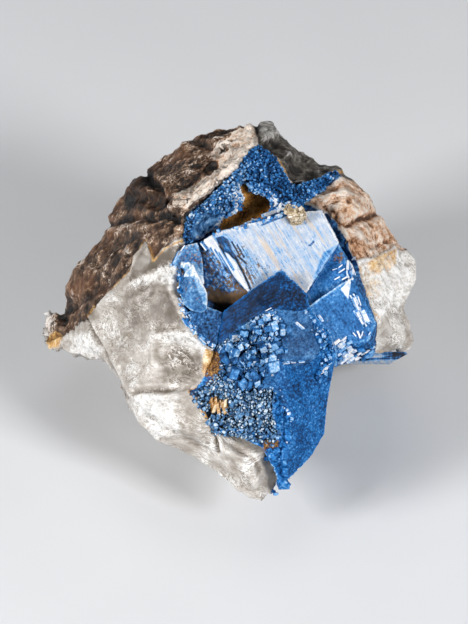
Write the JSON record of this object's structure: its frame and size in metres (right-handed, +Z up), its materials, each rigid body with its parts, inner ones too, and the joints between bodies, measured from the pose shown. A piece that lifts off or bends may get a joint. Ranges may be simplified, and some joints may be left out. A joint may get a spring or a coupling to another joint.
{
  "type": "shattuckite specimen",
  "caption": "Hand-sized mineral specimen: blue shattuckite crystals in a pocket of milky quartz with a brown rind, resting on a flat broken face.",
  "frame": {"origin": "centre of the bounding box's underside, on the plane of the flat face that the specimen rests on", "axes": "+X runs across the display face to the viewer's right, the longest extent; +Y runs away from the viewer; +Z is up, the shortest extent; the display face leans back, facing half up and towards -Y"},
  "size_m": [0.085, 0.0828, 0.0641],
  "materials": {
    "quartz_matrix": "broken milky quartz with a rough brown rind",
    "prism_crystal": "velvety deep blue",
    "pale_crystal": "pale blue to white, finely striated, silky",
    "left_crystals": "velvety mid blue",
    "right_crystals": "velvety mid blue with white edges",
    "upper_druse": "fine-grained sparkling blue crust",
    "underside_crystal": "pale blue, striated",
    "cream_crystal": "rough cream"
  },
  "bodies": {
    "root": {"quartz_matrix": "quartz_matrix", "prism_crystal": "prism_crystal", "pale_crystal": "pale_crystal", "left_crystals": "left_crystals", "right_crystals": "right_crystals", "upper_druse": "upper_druse", "underside_crystal": "underside_crystal", "cream_crystal": "cream_crystal"}
  },
  "joints": []
}
